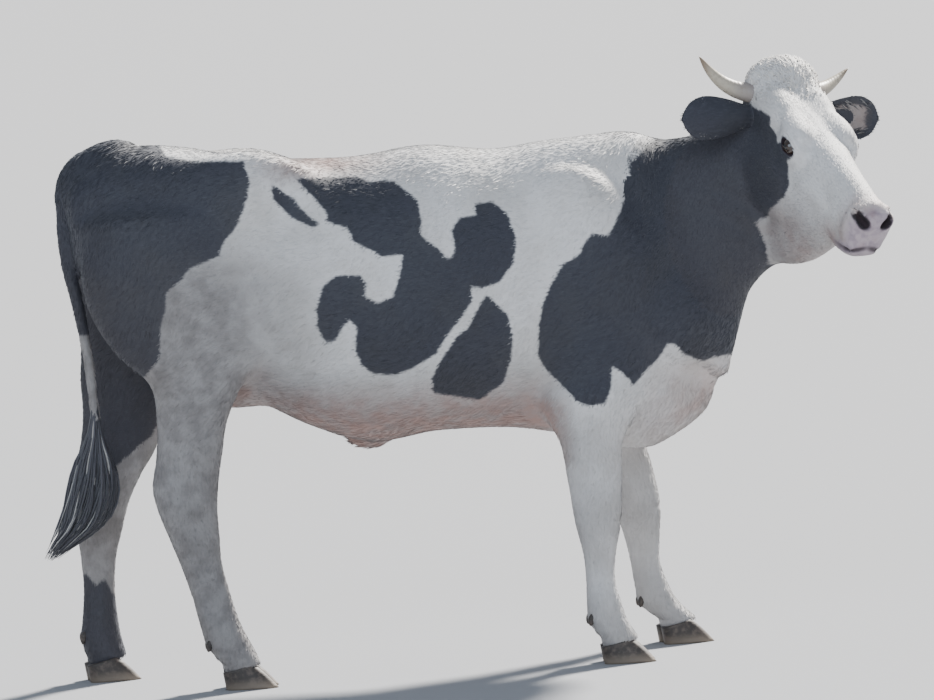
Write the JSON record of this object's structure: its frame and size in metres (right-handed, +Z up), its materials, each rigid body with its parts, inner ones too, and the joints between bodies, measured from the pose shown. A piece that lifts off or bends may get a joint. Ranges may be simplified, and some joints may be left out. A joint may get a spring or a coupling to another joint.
{
  "type": "cow",
  "caption": "Life-size young black-and-white heifer standing square on four cloven feet, with short horns and its head turned to its right.",
  "frame": {"origin": "middle of the bounding box, on the floor that the feet stand on", "axes": "+X forward along the body, +Y to the animal's left, +Z up"},
  "size_m": [2.0651, 0.8122, 1.4343],
  "materials": {
    "coat": "short flat hair, black and white",
    "switch_hair": "long loose black hair",
    "horn": "dull keratin, darker at the root",
    "hoof": "dull dark keratin",
    "eye": "wet and dark"
  },
  "bodies": {
    "root": {"trunk": "coat", "neck": "coat", "head": "coat", "tail": "coat", "tail_switch": "switch_hair", "ear_right": "coat", "ear_left": "coat", "eye_right": "eye", "eye_left": "eye", "horn_right": "horn", "horn_left": "horn", "foreleg_right": "coat", "foreleg_left": "coat", "hindleg_right": "coat", "hindleg_left": "coat", "claw_foreleg_right_outer": "hoof", "claw_foreleg_right_inner": "hoof", "claw_foreleg_left_outer": "hoof", "claw_foreleg_left_inner": "hoof", "claw_hindleg_right_outer": "hoof", "claw_hindleg_right_inner": "hoof", "claw_hindleg_left_outer": "hoof", "claw_hindleg_left_inner": "hoof", "dewclaw_foreleg_right_outer": "hoof", "dewclaw_foreleg_right_inner": "hoof", "dewclaw_foreleg_left_outer": "hoof", "dewclaw_foreleg_left_inner": "hoof", "dewclaw_hindleg_right_outer": "hoof", "dewclaw_hindleg_right_inner": "hoof", "dewclaw_hindleg_left_outer": "hoof", "dewclaw_hindleg_left_inner": "hoof"}
  },
  "joints": []
}
